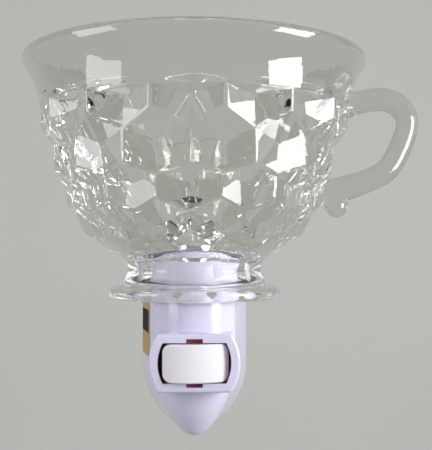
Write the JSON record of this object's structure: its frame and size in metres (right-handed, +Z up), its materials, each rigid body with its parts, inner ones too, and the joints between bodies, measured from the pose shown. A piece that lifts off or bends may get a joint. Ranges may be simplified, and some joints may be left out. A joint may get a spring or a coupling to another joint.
{
  "type": "night light",
  "caption": "Plug-in night light: clear pressed-glass footed cup as a shade over a candle bulb, on a white plug body with a rocker switch.",
  "frame": {"origin": "centre of the plug face between the two blades, on the wall's surface", "axes": "+Y into the wall along the blades, +X to the viewer's right (the handle's side), +Z up"},
  "size_m": [0.1069, 0.0894, 0.1054],
  "materials": {
    "cup_glass": "clear pressed glass, polished",
    "bulb_glass": "clear blown glass",
    "housing_plastic": "smooth moulded, slightly lavender white",
    "rocker_plastic": "smooth moulded white",
    "fibre": "dark red vulcanised fibre",
    "foil_label": "gold foil face with a plain dark block, no lettering",
    "silicone": "translucent silicone",
    "bright_cap": "bright nickel plate",
    "solder": "dull solder",
    "base_glass": "black moulded glass",
    "brass": "plain stamped brass",
    "steel": "zinc plated",
    "lamp_wire": "drawn wire"
  },
  "bodies": {
    "housing": {"glass_cup": "cup_glass", "seat_ring": "silicone", "front_housing": "housing_plastic", "rear_housing": "housing_plastic", "rating_label": "foil_label", "housing_screw": "steel", "switch_plate": "fibre", "centre_terminal": "brass", "lamp_terminal": "brass", "live_strap": "brass", "lamp_strap": "brass", "neutral_strap": "brass", "blade_live": "brass", "blade_neutral": "brass", "rivets": "brass", "socket_insulator": "fibre", "socket_shell": "brass", "centre_contact": "brass"},
    "rocker": {"rocker_button": "rocker_plastic", "bridge_contact": "brass", "switch_plunger": "brass", "rocker_spring": "steel"},
    "bulb_lift": {"bulb_contact": "solder"},
    "bulb": {"bulb_glass": "bulb_glass", "bulb_cap": "bright_cap", "bulb_insulator": "base_glass", "bulb_stem": "bulb_glass", "lead_wires": "lamp_wire", "filament": "lamp_wire"}
  },
  "joints": [
    {"name": "rocker_tilt", "type": "hinge", "parent": "housing", "child": "rocker", "pos_m": [0, -0.038, -0.0035], "axis": [0, 0, 1], "range_deg": [-16, 0]},
    {"name": "bulb_rise", "type": "slide", "parent": "housing", "child": "bulb_lift", "axis": [0, 0, 1], "range_m": [0, 0.0128]},
    {"name": "bulb_turn", "type": "hinge", "parent": "bulb_lift", "child": "bulb", "pos_m": [0, -0.026, 0.02], "axis": [0, 0, 1], "range_deg": [0, 1800]}
  ],
  "couplings": [
    {"joint": "bulb_rise", "follows": "bulb_turn", "m_per_rad": 0.00040425}
  ]
}
